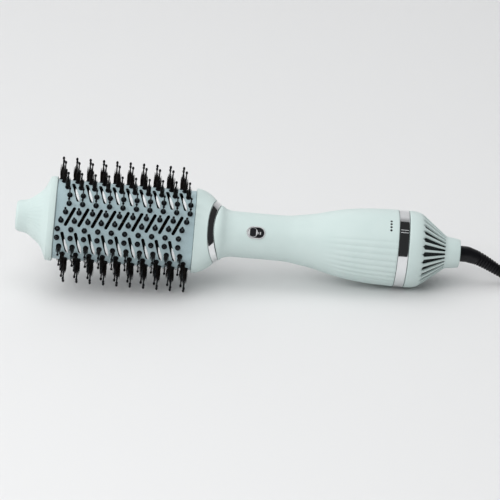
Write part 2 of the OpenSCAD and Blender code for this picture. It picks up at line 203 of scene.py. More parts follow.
def softEdges(piece, width, segments=2, angle=35):
    finishWith(piece, "BEVEL", width=width / 1000, segments=segments, limit_method="ANGLE",
               angle_limit=math.radians(angle), harden_normals=False)
    smoothTo(piece.data, 50)
    return piece


def place(piece, body, slot, *nodes):
    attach(piece, body)
    if nodes:
        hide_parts(*nodes)
    return piece


def splineAt(a, b, c, d, t):
    return 0.5 * (2 * b + (c - a) * t + (2 * a - 5 * b + 4 * c - d) * t ** 2
                  + (3 * b - a - 3 * c + d) * t ** 3)


def nearFour(points, i):
    return points[max(i - 1, 0)], points[i], points[i + 1], points[min(i + 2, len(points) - 1)]


def catmull(points, steps):
    # a smooth line through [station, value] points
    smooth = []
    for i in range(len(points) - 1):
        near = list(zip(*nearFour(points, i)))
        smooth += [[splineAt(*four, k / steps) for four in near] for k in range(steps)]
    return smooth + [list(points[-1])]


def reader(points, steps=6):
    stations, values = zip(*catmull(points, steps))
    return lambda s: np.interp(s, stations, values)


def signedPower(x, p):
    return math.copysign(abs(x) ** p, x)


def ease(low, high, x):
    t = min(max((x - low) / (high - low), 0), 1)
    return t * t * (3 - 2 * t)


def startMaterial(name, colour, roughness, metallic=0.0, **sockets):
    material = bpy.data.materials.new(name)
    material.use_nodes = True
    shader = material.node_tree.nodes["Principled BSDF"]
    shader.inputs["Base Color"].default_value = (*colour, 1)
    shader.inputs["Roughness"].default_value = roughness
    shader.inputs["Metallic"].default_value = metallic
    for socket, value in sockets.items():
        shader.inputs[socket].default_value = value
    return material


def addNode(material, kind, **inputs):
    node = material.node_tree.nodes.new(kind)
    for socket, value in inputs.items():
        node.inputs[socket].default_value = value
    return node


def link(owner, output, socket):
    owner.node_tree.links.new(output, socket)


def feed(material, output, socket):
    link(material, output, material.node_tree.nodes["Principled BSDF"].inputs[socket])


def textureOn(material, kind, **inputs):
    # a texture in metres on the piece's own coordinates
    where = addNode(material, "ShaderNodeTexCoord")
    texture = addNode(material, kind, **inputs)
    link(material, where.outputs["Object"], texture.inputs["Vector"])
    return texture


def noiseOn(material, scale, detail=3.0):
    return textureOn(material, "ShaderNodeTexNoise", Scale=scale, Detail=detail).outputs["Fac"]


def mottle(material, source, dark, light, low=0.35, high=0.65):
    # the base colour wanders between two near tones
    ramp = addNode(material, "ShaderNodeValToRGB")
    for k, (position, colour) in enumerate(((low, dark), (high, light))):
        ramp.color_ramp.elements[k].position = position
        ramp.color_ramp.elements[k].color = (*colour, 1)
    link(material, source, ramp.inputs["Fac"])
    feed(material, ramp.outputs["Color"], "Base Color")


def roughen(material, source, low, high):
    span = addNode(material, "ShaderNodeMapRange", **{"To Min": low, "To Max": high})
    link(material, source, span.inputs["Value"])
    feed(material, span.outputs["Result"], "Roughness")


def bump(material, source, strength, distance=0.0001):
    lift = addNode(material, "ShaderNodeBump", Strength=strength, Distance=distance)
    link(material, source, lift.inputs["Height"])
    feed(material, lift.outputs["Normal"], "Normal")


def mintShell():
    coat = {"Coat Weight": 0.12, "Coat Roughness": 0.35}
    material = startMaterial("mintShell", (0.60, 0.705, 0.685), 0.42, **coat)
    mottle(material, noiseOn(material, 60), (0.590, 0.697, 0.677), (0.610, 0.713, 0.693))
    grain = noiseOn(material, 2600, 2.0)
    roughen(material, grain, 0.36, 0.48)
    bump(material, grain, 0.12)
    return material


def barrelCoating():
    material = startMaterial("barrelCoating", (0.42, 0.54, 0.57), 0.36, 0.1)
    mottle(material, noiseOn(material, 3200, 4.0), (0.36, 0.48, 0.51), (0.48, 0.60, 0.63), 0.3, 0.7)
    grain = noiseOn(material, 1800)
    roughen(material, grain, 0.30, 0.46)
    bump(material, grain, 0.10)
    return material


def chromePlate():
    material = startMaterial("chromePlate", (0.86, 0.87, 0.88), 0.06, 1.0)
    roughen(material, noiseOn(material, 400, 2.0), 0.04, 0.09)
    return material


def grainyPlastic(name, colour, roughness, grainScale=1800, depth=0.15, specular=0.5):
    material = startMaterial(name, colour, roughness, **{"Specular IOR Level": specular})
    lighter = tuple(c * 1.5 + 0.001 for c in colour)
    grain = noiseOn(material, grainScale)
    mottle(material, grain, colour, lighter, 0.3, 0.8)
    roughen(material, grain, roughness - 0.06, roughness + 0.08)
    bump(material, grain, depth)
    return material


def fibreBlack():
    # the tone changes from strand to strand
    material = startMaterial("bristleFibre", (0.012, 0.010, 0.009), 0.5, **{"Specular IOR Level": 0.3})
    grain = noiseOn(material, 900, 2.0)
    mottle(material, grain, (0.005, 0.004, 0.004), (0.030, 0.021, 0.017), 0.45, 0.8)
    return material


def paintedChromeReflection():
    # near-white, mostly diffuse silver: a painted reflection standing in for the bright chrome of the switch,
    # with a fine random speckle under a satin finish
    material = startMaterial("paintedChromeReflection", (0.86, 0.87, 0.88), 0.25, 0.3)
    speckle = noiseOn(material, 2200)
    mottle(material, speckle, (0.82, 0.83, 0.84), (0.88, 0.89, 0.90))
    roughen(material, speckle, 0.20, 0.32)
    return material


def wornMetal(name, colour, roughness):
    material = startMaterial(name, colour, roughness, 1.0)
    grain = noiseOn(material, 900)
    mottle(material, grain, tuple(c * 0.82 for c in colour), colour)
    roughen(material, grain, roughness - 0.08, roughness + 0.12)
    return material


def micaSheet():
    material = startMaterial("micaSheet", (0.20, 0.15, 0.09), 0.35)
    mottle(material, noiseOn(material, 220, 6.0), (0.12, 0.09, 0.05), (0.26, 0.21, 0.14), 0.35, 0.7)
    return material


def boardGreen():
    material = startMaterial("boardGreen", (0.04, 0.16, 0.08), 0.4)
    tracks = textureOn(material, "ShaderNodeTexBrick", Scale=260, Color1=(0.03, 0.14, 0.07, 1),
                       Color2=(0.05, 0.20, 0.10, 1), Mortar=(0.10, 0.30, 0.15, 1))
    feed(material, tracks.outputs["Color"], "Base Color")
    return material


def screenMesh():
    material = startMaterial("screenMesh", (0.03, 0.035, 0.036), 0.5, 0.6)
    weave = textureOn(material, "ShaderNodeTexVoronoi", Scale=1400).outputs["Distance"]
    mottle(material, weave, (0.012, 0.014, 0.015), (0.06, 0.07, 0.07), 0.2, 0.8)
    bump(material, weave, 0.4, 0.0003)
    return material


finish = {
    "mint": mintShell(),
    "coating": barrelCoating(),
    "chrome": chromePlate(),
    "nylon": grainyPlastic("bristleNylon", (0.0035, 0.004, 0.0055), 0.42, specular=0.22),
    "fibre": fibreBlack(),
    "black": grainyPlastic("blackPlastic", (0.012, 0.012, 0.014), 0.38),
    "innerBlack": grainyPlastic("innerBlack", (0.004, 0.0045, 0.005), 0.7, specular=0.1),
    "rubber": grainyPlastic("cordRubber", (0.005, 0.005, 0.006), 0.40, 2400, 0.3, 0.3),
    "paintedReflection": paintedChromeReflection(),
    "strap": grainyPlastic("strapWeave", (0.02, 0.02, 0.022), 0.8, 900, 0.6),
    "white": grainyPlastic("whitePlastic", (0.74, 0.76, 0.77), 0.4),
    "mica": micaSheet(),
    "heater": wornMetal("heaterAlloy", (0.42, 0.38, 0.34), 0.4),
    "steel": wornMetal("brightSteel", (0.66, 0.66, 0.68), 0.28),
    "brass": wornMetal("contactBrass", (0.80, 0.60, 0.28), 0.3),
    "board": boardGreen(),
    "screen": screenMesh(),
}


# The cord lies on the surface, its stored length in a coil beyond the brush
cordPath = {
    "diameter": 6.5, "length": 1.8, "coilAt": (318, 18), "innerBend": 26, "pitch": 6.6, "turns": 6.6,
    "startAngle": -128, "pointsPerTurn": 24, "lowLayer": 3.3, "layerStep": 6.6, "crossing": 0.3,
}
leadRoute = [(213.5, 0, 9.5), (219, 0, 6.3), (226, 0, 4.2), (236, 0, 3.4), (249, -0.8, 3.3),
             (262, -3.6, 3.3), (274, -9.2, 3.3), (282, -14.6, 3.3)]
tailRoute = [(306, 64.4, 10.5), (293, 59, 11.8), (283, 51.5, 13.2), (275, 42, 14.7),
             (270, 30, 16), (269, 18, 16.6), (272, 4, 17), (278, -5, 17.6), (287, -11, 18.6),
             (298, -14, 19.8), (309, -13, 21), (319, -8, 21.6)]


def coilRoute():
    middle = cordPath["turns"] / 2
    count = round(cordPath["turns"] * cordPath["pointsPerTurn"])
    route = []
    for i in range(count + 1):
        turn = cordPath["turns"] * i / count
        angle = math.radians(cordPath["startAngle"] + 360 * turn)
        reach = cordPath["innerBend"] + cordPath["pitch"] * abs(turn - middle)
        climb = ease(middle - cordPath["crossing"], middle + cordPath["crossing"], turn)
        height = cordPath["lowLayer"] + cordPath["layerStep"] * climb
        x, y = cordPath["coilAt"]
        route.append((x + reach * math.cos(angle), y + reach * math.sin(angle), height))
    return route


def makeCord():
    route = leadRoute + coilRoute() + tailRoute
    curve = bpy.data.curves.new("mainsCord", "CURVE")
    curve.dimensions = "3D"
    curve.bevel_depth = cordPath["diameter"] / 2000
    curve.bevel_resolution = 3
    curve.resolution_u = 4
    curve.use_fill_caps = True
    spline = curve.splines.new("BEZIER")
    spline.bezier_points.add(len(route) - 1)
    for point, at in zip(spline.bezier_points, route):
        point.co = [v / 1000 for v in at]
        point.handle_left_type = point.handle_right_type = "AUTO"
    cord = newObject("mainsCord", curve)
    curve.materials.append(finish["rubber"])
    return place(cord, "cord_set", "cord_rubber", "cord_lead", "cord_coil", "cord_tail")


print("cord")
mainsCord = makeCord()


def sweep(route, radii, sides):
    # rings square to a route, each with its own radius
    route = [Vector(p) for p in route]
    rings = []
    for i, at in enumerate(route):
        ahead = (route[min(i + 1, len(route) - 1)] - route[max(i - 1, 0)]).normalized()
        side = ahead.cross(Vector((0, 0, 1))).normalized()
        up = side.cross(ahead)
        rings.append([at + radii[i] * (math.cos(q) * side + math.sin(q) * up) for q in turnSteps(sides)])
    return rings


def evenly(points, spacing, steps=24):
    # a smooth route through the points, cut into even steps
    coarse = [Vector(p) for p in points]
    fine = [splineAt(*nearFour(coarse, i), k / steps) for i in range(len(coarse) - 1) for k in range(steps)]
    fine.append(coarse[-1])
    run = [0]
    for p, q in zip(fine, fine[1:]):
        run.append(run[-1] + (q - p).length)
    count = max(2, round(run[-1] / spacing))
    marks = [run[-1] * i / count for i in range(count + 1)]
    axes = list(zip(*fine))
    return [Vector([float(np.interp(x, run, axis)) for axis in axes]) for x in marks], marks


strain = {
    "collarStation": 356.6, "rootRadius": 6.4, "tipRadius": 4.2, "smoothRun": 16,
    "ribPitch": 2.4, "ribDepth": 0.75, "taperFrom": 8, "fadeRun": 3, "spacing": 0.3, "sides": 40,
    "route": [(186, 0, 25.5), (192, 0, 23.2), (198, 0, 19.8), (204, 0, 15.9), (210, 0, 11.8)],
}


def makeStrainRelief():
    start = [onBrush @ Vector((strain["collarStation"] + e, 0, 0)) * 1000 for e in (-2.6, 6)]
    points = start + strain["route"] + [leadRoute[0]]
    route, runs = evenly(points, strain["spacing"])
    radii = []
    for run in runs:
        taper = max(0, run - strain["taperFrom"]) / (runs[-1] - strain["taperFrom"])
        radius = strain["rootRadius"] * (1 - taper) + strain["tipRadius"] * taper
        wave = 0.5 + 0.5 * math.cos(2 * math.pi * run / strain["ribPitch"])
        fade = ease(strain["smoothRun"], strain["smoothRun"] + strain["fadeRun"], run)
        radii.append(radius - strain["ribDepth"] * fade * wave ** 2)
    verts, faces = loft(sweep(route, radii, strain["sides"]), capped=True)
    piece = newPiece("strainRelief", verts, faces, finish["rubber"], onTable, 60)
    return place(piece, "cord_set", "cord_rubber", "strain_relief")


plugSizes = {
    "at": (319, -8, 21.6), "turn": 36, "bodyAt": 22, "bodyLength": 42, "halfWidth": 17.9, "halfThick": 8.4,
    "outline": [[0, 3.35], [6, 3.7], [18, 5.0], [22, 6.0], [27, 10.2], [34, 13.6], [44, 15.4], [54, 17.2]],
    "ribDepth": 0.35, "ribPitch": 3, "gripDepth": 0.5, "gripPitch": 4, "gripRun": (36, 56),
    "pinPitch": 19, "pinRadius": 2.4, "pinLength": 19,
    "pinShape": [(0, 1), (0.86, 1), (0.93, 0.96), (0.975, 0.84), (1, 0.62)],
}


def plugRest():
    turn = Matrix.Rotation(math.radians(plugSizes["turn"]), 4, "Z")
    return onTable @ Matrix.Translation(plugSizes["at"]) @ turn


def halfWave(x, pitch):
    return 0.5 - 0.5 * math.cos(2 * math.pi * x / pitch)


def plugRing(x, half, front):
    # ribs on the neck, grip lines on the sides, a rounded front edge
    ribbed = ease(2, 5, x) * (1 - ease(17, 19, x))
    relief = plugSizes["ribDepth"] * halfWave(x, plugSizes["ribPitch"]) * ribbed
    gripStart, gripEnd = plugSizes["gripRun"]
    held = gripStart < x < gripEnd
    grip = plugSizes["gripDepth"] * halfWave(x - gripStart, plugSizes["gripPitch"]) * held
    end = 1 - math.sqrt(max(0, 1 - max(0, (x - front + 1)) ** 2))
    power = 2 if half < 6 else 3
    thick = min(half - relief, plugSizes["halfThick"]) - end
    ring = []
    for q in turnSteps(48):
        wide = half - relief - end - grip * abs(math.cos(q)) ** 3
        ring.append((x, *squarish(q, wide, thick, power)))
    return ring


def makePlug():
    front = plugSizes["bodyAt"] + plugSizes["bodyLength"]
    outline = reader(plugSizes["outline"] + [[front, plugSizes["halfWidth"]]])
    stations = [front * i / 160 for i in range(161)]
    verts, faces = loft([plugRing(x, float(outline(x)), front) for x in stations], capped=True)
    body = newPiece("plugBody", verts, faces, finish["rubber"], plugRest(), 55)
    place(body, "cord_set", "black_plastic", "plug_body")
    rings = []
    for share, thick in plugSizes["pinShape"]:
        x, r = front + share * plugSizes["pinLength"], thick * plugSizes["pinRadius"]
        rings.append([(x, r * math.cos(q), r * math.sin(q)) for q in turnSteps(32)])
    verts, faces = loft(rings, capped=True)
    sides = [[(x, y + e * plugSizes["pinPitch"] / 2, z) for x, y, z in verts] for e in (-1, 1)]
    verts, faces = joined([(side, faces) for side in sides])
    pins = newPiece("plugPins", verts, faces, finish["steel"], plugRest(), 40)
    place(pins, "cord_set", "bright_metal", "plug_pins")
    return body, pins


tieSizes = {"turn": 66, "width": 9.6, "wall": 0.9, "low": 22.75, "bundle": 28.28, "tall": 13.1,
            "slack": 0.05, "bend": 2.2}


def makeTie():
    # an open band over the bundle of turns, its ends tucked down beside it
    slack, bend, half = tieSizes["slack"], tieSizes["bend"], tieSizes["width"] / 2
    low, high = tieSizes["low"] - slack, tieSizes["low"] + tieSizes["bundle"] + slack
    top = tieSizes["tall"] + slack
    line = [(low, 0)]
    for x, quarter in ((low + bend, range(180, 89, -15)), (high - bend, range(90, -1, -15))):
        line += [(x + bend * cosDeg(q), top - bend + bend * sinDeg(q)) for q in quarter]
    line.append((high, 0))
    outer, inner = [], []
    for i, (x, z) in enumerate(line):
        a, b = Vector(line[max(i - 1, 0)]), Vector(line[min(i + 1, len(line) - 1)])
        out = Vector((-(b - a).y, (b - a).x)).normalized()
        wall = tieSizes["wall"]
        outer.append([(x + out.x * wall, y, z + out.y * wall) for y in (-half, 0, half)])
        inner.append([(x, y, z) for y in (-half, 0, half)])
    verts, faces = patchShell(outer, inner)
    rest = onTable @ Matrix.Translation((*cordPath["coilAt"], 0))
    rest = rest @ Matrix.Rotation(math.radians(tieSizes["turn"]), 4, "Z")
    piece = softEdges(newPiece("cordTie", verts, faces, finish["strap"], rest), 0.25)
    return place(piece, "cord_set", "black_plastic", "cord_tie")


relief = makeStrainRelief()
plug, plugPins = makePlug()
tie = makeTie()


nose = {"tipRadius": 12, "lipStation": 31.3, "wide": 33.9, "thick": 19.9, "wall": 2.2,
        "flare": [[0, 1], [9, 2.7], [14, 5.8], [18.5, 9.2], [21.5, 12.8], [24, 17.6], [25.7, 21.2],
                  [27, 21.85]],
        "flutes": 40, "fluteDepth": 0.10}


def noseProfile():
    # [station, growth from the tip radius (0 to 1), inset], from the rounded tip to the lip's rear edge
    flare = [[s, max(g - 1, 0) / 20.85] for s, g in catmull(nose["flare"], 6)]
    profile = [[2.0 - 2.0 * sinDeg(q), 0, 2.0 - 2.0 * cosDeg(q)]
               for q in range(90, 0, -15)]
    profile += [[s, g, 0] for s, g in flare if 2.0 < s < 26.2]
    profile += [[26.9, 0.985, 0], [27.6, 0.998, 0], [28.4, 1, 0], [30.5, 1, 0]]
    profile += [[30.5 + 0.8 * sinDeg(q), 1, 0.8 - 0.8 * cosDeg(q)]
                for q in (30, 60, 90)]
    return profile


def noseRing(station, growth, inset, sides=192):
    tip = nose["tipRadius"]
    a = tip + growth * (nose["wide"] - tip) - inset
    b = tip + growth * (nose["thick"] - tip) - inset
    power = 2 + 0.5 * growth
    fade = nose["fluteDepth"] * ease(5, 10, station) * (1 - ease(20, 25, station))
    ring = []
    for q in turnSteps(sides):
        ripple = fade * (math.cos(nose["flutes"] * q) - 1)
        ring.append((station, *squarish(q, a + ripple, b + ripple, power)))
    return ring


def makeNoseCap():
    profile = noseProfile()
    rings = [noseRing(0, 0, inset) for inset in (11.8, 8, 4)] + [noseRing(*p) for p in profile]
    back = [[min(s + 1.4, nose["lipStation"]), g, nose["wall"]] for s, g, inset in reversed(profile) if s > 4]
    rings += [noseRing(nose["lipStation"], 1, nose["wall"])] + [noseRing(*p) for p in back[3:]]
    rings += [noseRing(4.5, 0, inset) for inset in (nose["wall"], 11.8)]
    piece = newPiece("noseCap", *loft(rings, capped=True), finish["mint"])
    return place(piece, "brush", "mint_shell", "nose_cap")


print("nose cap")
makeNoseCap()


oval = {"wide": 64, "thick": 36, "edgeRadius": 17.2, "rows": 24, "wave": 4.1, "waveRows": 8,
        "firstTuft": 37.9, "tuftPitch": 10.72, "tufts": 10}
edgeCentre = oval["wide"] / 2 - oval["edgeRadius"]
faceRadius = (edgeCentre ** 2 + (oval["thick"] / 2) ** 2 - oval["edgeRadius"] ** 2) / (
    oval["thick"] - 2 * oval["edgeRadius"])
faceTurn = math.asin(edgeCentre / (faceRadius - oval["edgeRadius"]))
faceRun = faceRadius * faceTurn
edgeRun = oval["edgeRadius"] * (math.pi - 2 * faceTurn)
around = 4 * faceRun + 2 * edgeRun
rowPitch = around / oval["rows"]


def ovalAngle(u):
    u = u % around
    low = u >= around / 2
    w = u - around / 2 if low else u
    if w < faceRun:
        angle = w / faceRadius
    elif w < faceRun + edgeRun:
        angle = faceTurn + (w - faceRun) / oval["edgeRadius"]
    else:
        angle = math.pi - (around / 2 - w) / faceRadius
    return angle + (math.pi if low else 0)


def ovalPoint(angle, out=0):
    if abs(math.cos(angle)) > math.cos(faceTurn):
        shift = -math.copysign(faceRadius - oval["thick"] / 2, math.cos(angle))
        return (faceRadius + out) * math.sin(angle), shift + (faceRadius + out) * math.cos(angle)
    reach = oval["edgeRadius"] + out
    return math.copysign(edgeCentre, math.sin(angle)) + reach * math.sin(angle), reach * math.cos(angle)


def onRow(u):
    # X along the brush, Z straight out of the sleeve at u along its outline
    angle = ovalAngle(u)
    y, z = ovalPoint(angle)
    return Matrix.Translation((0, y, z)) @ Matrix.Rotation(-angle, 4, "X")


sleeve = {"start": 31.5, "length": 110.8, "wall": 1.0, "edge": 0.15, "around": 336,
          "slotWidth": 2.7, "slotLength": 17.2, "slotColumns": 8, "lipColumns": (3, 6, 9, 15, 18, 21)}


def slotPlaces():
    # (matrix of one slot, its column), X across the slot, Y along it
    places = []
    for column in range(sleeve["slotColumns"]):
        j = column * oval["rows"] / sleeve["slotColumns"]
        phase = 2 * math.pi * j / oval["waveRows"]
        slant = math.atan(oval["wave"] * 2 * math.pi / oval["waveRows"] * math.cos(phase) / rowPitch)
        for i in range(oval["tufts"] - 1):
            station = oval["firstTuft"] + (i + 0.5) * oval["tuftPitch"] + oval["wave"] * math.sin(phase)
            turn = Matrix.Translation((station, 0, 0)) @ Matrix.Rotation(-slant, 4, "Z")
            places.append((onRow(j * rowPitch) @ turn, int(j)))
    return places


def pill(halfWidth, halfStraight, steps=8):
    points = []
    for end in (1, -1):
        for k in range(steps + 1):
            q = math.pi * k / steps
            points.append((end * halfWidth * math.cos(q), end * (halfStraight + halfWidth * math.sin(q))))
    return points


def makeSleeve():
    outline = [ovalAngle(around * (k + 0.5) / sleeve["around"]) for k in range(sleeve["around"])]
    start, end, edge = sleeve["start"], sleeve["start"] + sleeve["length"], sleeve["edge"]
    stations = [(start, -edge), (start + edge, 0)]
    stations += [(start + (end - start) * k / 12, 0) for k in range(1, 12)]
    stations += [(end - edge, 0), (end, -edge)]
    rings = [[(s, *ovalPoint(a, out)) for a in outline] for s, out in stations]
    rings += [[(s, *ovalPoint(a, -sleeve["wall"])) for a in outline] for s in (end, start)]
    piece = newPiece("barrelSleeve", *loft(rings, looped=True), finish["coating"])
    slot = pill(sleeve["slotWidth"] / 2, (sleeve["slotLength"] - sleeve["slotWidth"]) / 2)
    cuts = []
    for turn, column in slotPlaces():
        rings = [[turn @ Vector((x, y, z)) for x, y in slot] for z in (-4, 3)]
        cuts.append(loft(rings, capped=True))
    cutOut(piece, *joined(cuts))
    smoothTo(piece.data, 30)
    return place(piece, "brush", "barrel_coating", "barrel_sleeve")


print("barrel sleeve")
makeSleeve()


def startTree(name, kinds):
    # a tree with named inputs; returns it, its input sockets and their identifiers
    tree = bpy.data.node_groups.new(name, "GeometryNodeTree")
    names = {}
    for label, kind in kinds.items():
        socket = tree.interface.new_socket(name=label, in_out="INPUT", socket_type="NodeSocket" + kind)
        names[label] = socket.identifier
    tree.interface.new_socket(name="Geometry", in_out="OUTPUT", socket_type="NodeSocketGeometry")
    return tree, tree.nodes.new("NodeGroupInput").outputs, names


def treeNode(tree, kind, links=None, **settings):
    node = tree.nodes.new(kind)
    for key, value in settings.items():
        setattr(node, key, value)
    for socket, source in (links or {}).items():
        if isinstance(source, bpy.types.NodeSocket):
            tree.links.new(source, node.inputs[socket])
        else:
            node.inputs[socket].default_value = source
    return node


def mathNode(tree, operation, *values):
    return treeNode(tree, "ShaderNodeMath", dict(enumerate(values)), operation=operation).outputs[0]


def vectorNode(tree, **axes):
    return treeNode(tree, "ShaderNodeCombineXYZ", axes).outputs["Vector"]


def copies(tree, source, points, material, **placed):
    # the source object on every point, made real and given its material
    shape = treeNode(tree, "GeometryNodeObjectInfo", {"Object": source})
    spread = treeNode(tree, "GeometryNodeInstanceOnPoints", {
        "Points": points, "Instance": shape.outputs["Geometry"], **placed})
    real = treeNode(tree, "GeometryNodeRealizeInstances", {"Geometry": spread.outputs["Instances"]})
    done = treeNode(tree, "GeometryNodeSetMaterial", {
        "Geometry": real.outputs["Geometry"], "Material": material})
    return done.outputs["Geometry"]


def runTree(name, tree, names, values, rest=onBrush, sharp=40, merge=0.0005):
    # evaluates the tree once and keeps the result as a plain mesh in its place
    holder = newObject(name + "Holder", bpy.data.meshes.new(name + "Holder"))
    modifier = holder.modifiers.new("repeat", "NODES")
    modifier.node_group = tree
    for label, value in values.items():
        modifier[names[label]] = value
    mesh = evaluatedMesh(holder)
    bpy.data.objects.remove(holder)
    mesh.name = name
    piece = newObject(name, mesh)
    tidyMesh(mesh, rest, sharp, merge)
    return piece


lip = {"length": 12, "width": 2.3, "rise": 0.6, "sink": 0.9, "toTail": 0.75, "toEnd": -3.2,
       "low": 0.10, "droop": 0.25}


def lipShape():
    outer, inner = [], []
    for i in range(13):
        t = i / 12
        half = lip["width"] / 2 * max(math.sin(math.pi * t) ** 0.7, 0.02)
        y = lip["toEnd"] + lip["length"] * (t - 0.5)
        crown = lip["rise"] * math.sin(math.pi * t)
        across = [(lip["toTail"] + half * e, e) for e in (-1, -0.5, 0, 0.5, 1)]
        outer.append([(x, y, crown * (1 - e * e) - lip["low"] - lip["droop"] * e * e) for x, e in across])
        inner.append([(x, y, -lip["sink"]) for x, e in across])
    return patchShell(outer, inner)


def makeLips():
    source = newPiece("lipSource", *lipShape(), finish["white"], Matrix())
    places = [turn for turn, column in slotPlaces() if column in sleeve["lipColumns"]]
    points = bpy.data.meshes.new("lipPlaces")
    points.from_pydata([tuple(turn.translation) for turn in places], [], [])
    turns = points.attributes.new("turn", "FLOAT_VECTOR", "POINT")
    for k, turn in enumerate(places):
        turns.data[k].vector = turn.to_euler("XYZ")
    markers = newObject("lipPlaces", points)
    tree, given, names = startTree("louvreLips", {"Scale": "Float", "Material": "Material"})
    where = treeNode(tree, "GeometryNodeObjectInfo", {"Object": markers})
    named = treeNode(tree, "GeometryNodeInputNamedAttribute", {"Name": "turn"}, data_type="FLOAT_VECTOR")
    shown = copies(tree, source, where.outputs["Geometry"], given["Material"],
                   Rotation=named.outputs["Attribute"], Scale=given["Scale"])
    treeNode(tree, "NodeGroupOutput", {"Geometry": shown})
    piece = runTree("louvreLips", tree, names, {"Scale": 1.0, "Material": finish["white"]})
    for extra in (source, markers):
        bpy.data.objects.remove(extra)
    return place(piece, "brush", "white_plastic")


print("louvre lips")
makeLips()


tuft = {"bossRadius": 2.25, "bossHeight": 0.95, "pinRoot": 0.75, "pinTip": 0.5, "pinLength": 18.4,
        "ballWidth": 2.1, "ballHeight": 2.9, "hairs": 56, "hairLength": 11.2, "hairRadius": 0.14,
        "hairBow": 0.35, "hairReach": (0.3, 1), "hairStretch": (0.72, 1.10), "spread": 1.42,
        "splay": 0.035, "seed": 11, "reachSeed": 77, "stretchSeed": 31,
        "edgeRows": (3, 8)}    # hairs stand in these rows and their mirror rows only


def makeTuftSource():
    boss, top, root = tuft["bossRadius"], tuft["bossHeight"], tuft["pinRoot"]
    halfWide, halfHigh = tuft["ballWidth"] / 2, tuft["ballHeight"] / 2
    middle = tuft["pinLength"] - halfHigh
    profile = [(boss, -2.4), (boss, top - 0.45), (boss - 0.13, top - 0.13), (boss - 0.45, top),
               (root + 0.35, top), (root, top + 0.4), (tuft["pinTip"], middle - halfHigh + 0.15)]
    profile += [(halfWide * cosDeg(q), middle + halfHigh * sinDeg(q)) for q in (-58, -30, 0, 30, 58, 82)]
    verts, faces = loft([circle(r, z, 12) for r, z in profile], capped=True)
    return newPiece("tuftSource", verts, faces, finish["nylon"], Matrix(), 50)


def makeHairSource():
    # one strand, three-sided, a little bowed
    length, radius = tuft["hairLength"], tuft["hairRadius"]
    strand = [(0, 1), (0.35, 1), (0.7, 0.85), (1, 0.45)]
    rings = [circle(radius * r, t * length, 3, tuft["hairBow"] * math.sin(math.pi * t)) for t, r in strand]
    verts, faces = loft(rings, capped=True)
    return newPiece("hairSource", verts, faces, finish["fibre"], Matrix(), 60)


def randomNode(tree, low, high, seed):
    # the sockets of Random Value repeat by type, so the float ones are set by index
    draw = treeNode(tree, "FunctionNodeRandomValue", {2: low, 3: high, "Seed": seed}, data_type="FLOAT")
    return draw.outputs[1]


def makeBristleTree(tuftSource, hairSource):
    tree, given, names = startTree("bristleRow", {
        "Tufts": "Int", "Pitch": "Float", "Hairs": "Int", "Spread": "Float", "Splay": "Float",
        "Seed": "Int", "Pin material": "Material", "Hair material": "Material"})
    line = treeNode(tree, "GeometryNodeMeshLine", {
        "Count": given["Tufts"], "Offset": vectorNode(tree, X=given["Pitch"])})
    points = treeNode(tree, "GeometryNodeMeshToPoints", {"Mesh": line.outputs["Mesh"]}).outputs["Points"]
    many = treeNode(tree, "GeometryNodeDuplicateElements", {
        "Geometry": points, "Amount": given["Hairs"]}, domain="POINT")
    reachSeed = mathNode(tree, "ADD", given["Seed"], tuft["reachSeed"])
    turn = randomNode(tree, 0, 2 * math.pi, given["Seed"])
    reach = randomNode(tree, *tuft["hairReach"], reachSeed)
    tall = randomNode(tree, *tuft["hairStretch"], mathNode(tree, "ADD", reachSeed, tuft["stretchSeed"]))
    radius = mathNode(tree, "MULTIPLY", reach, given["Spread"])
    disc = treeNode(tree, "ShaderNodeVectorRotate", {"Vector": vectorNode(tree, X=radius), "Angle": turn},
                    rotation_type="Z_AXIS")
    moved = treeNode(tree, "GeometryNodeSetPosition", {
        "Geometry": many.outputs["Geometry"], "Offset": disc.outputs["Vector"]})
    tilt = vectorNode(tree, Y=mathNode(tree, "MULTIPLY", radius, given["Splay"]), Z=turn)
    stretch = vectorNode(tree, X=1.0, Y=1.0, Z=tall)
    pins = copies(tree, tuftSource, points, given["Pin material"])
    hairs = copies(tree, hairSource, moved.outputs["Geometry"], given["Hair material"],
                   Rotation=tilt, Scale=stretch)
    both = treeNode(tree, "GeometryNodeJoinGeometry")
    tree.links.new(pins, both.inputs["Geometry"])
    tree.links.new(hairs, both.inputs["Geometry"])
    treeNode(tree, "NodeGroupOutput", {"Geometry": both.outputs["Geometry"]})
    return tree, names


def makeBristles():
    sources = makeTuftSource(), makeHairSource()
    tree, names = makeBristleTree(*sources)
    for k in range(oval["rows"]):
        shift = oval["wave"] * math.sin(2 * math.pi * (k + 0.5) / oval["waveRows"])
        row = onRow((k + 0.5) * rowPitch) @ Matrix.Translation((oval["firstTuft"] + shift, 0, 0))
        mirrored = min(k, oval["rows"] - 1 - k)
        hairy = tuft["edgeRows"][0] <= mirrored <= tuft["edgeRows"][1]
        piece = runTree(f"bristleStrip_{k + 1}", tree, names, {
            "Tufts": oval["tufts"], "Pitch": oval["tuftPitch"], "Hairs": tuft["hairs"] * hairy,
            "Spread": tuft["spread"], "Splay": tuft["splay"], "Seed": tuft["seed"] + k * 5,
            "Pin material": finish["nylon"], "Hair material": finish["fibre"]}, onBrush @ row, 50)
        place(piece, "brush", "bristle_nylon", f"bristle_strip_{k + 1}")
    for source in sources:
        bpy.data.objects.remove(source)


print("bristles")
makeBristles()


# The seams of the shoulder run further back at the edges than at the faces
shoulder = {
    "width": [[142.5, 34], [147, 33.4], [152, 31.3], [156, 28.6], [159.4, 25.6], [163.5, 22.3]],
    "depth": [[142.5, 20], [147, 20.1], [152, 20.5], [156, 21.1], [159.4, 21.7], [163.5, 22.3]],
    "start": 142.5, "roundRun": 18, "seamA": 152.9, "dipA": 6.5, "seamB": 158.1, "dipB": 5.4,
    "wall": 2.2, "ringWall": 1.6, "gap": 0.2,
}
shoulderWidth = reader(shoulder["width"])
shoulderDepth = reader(shoulder["depth"])


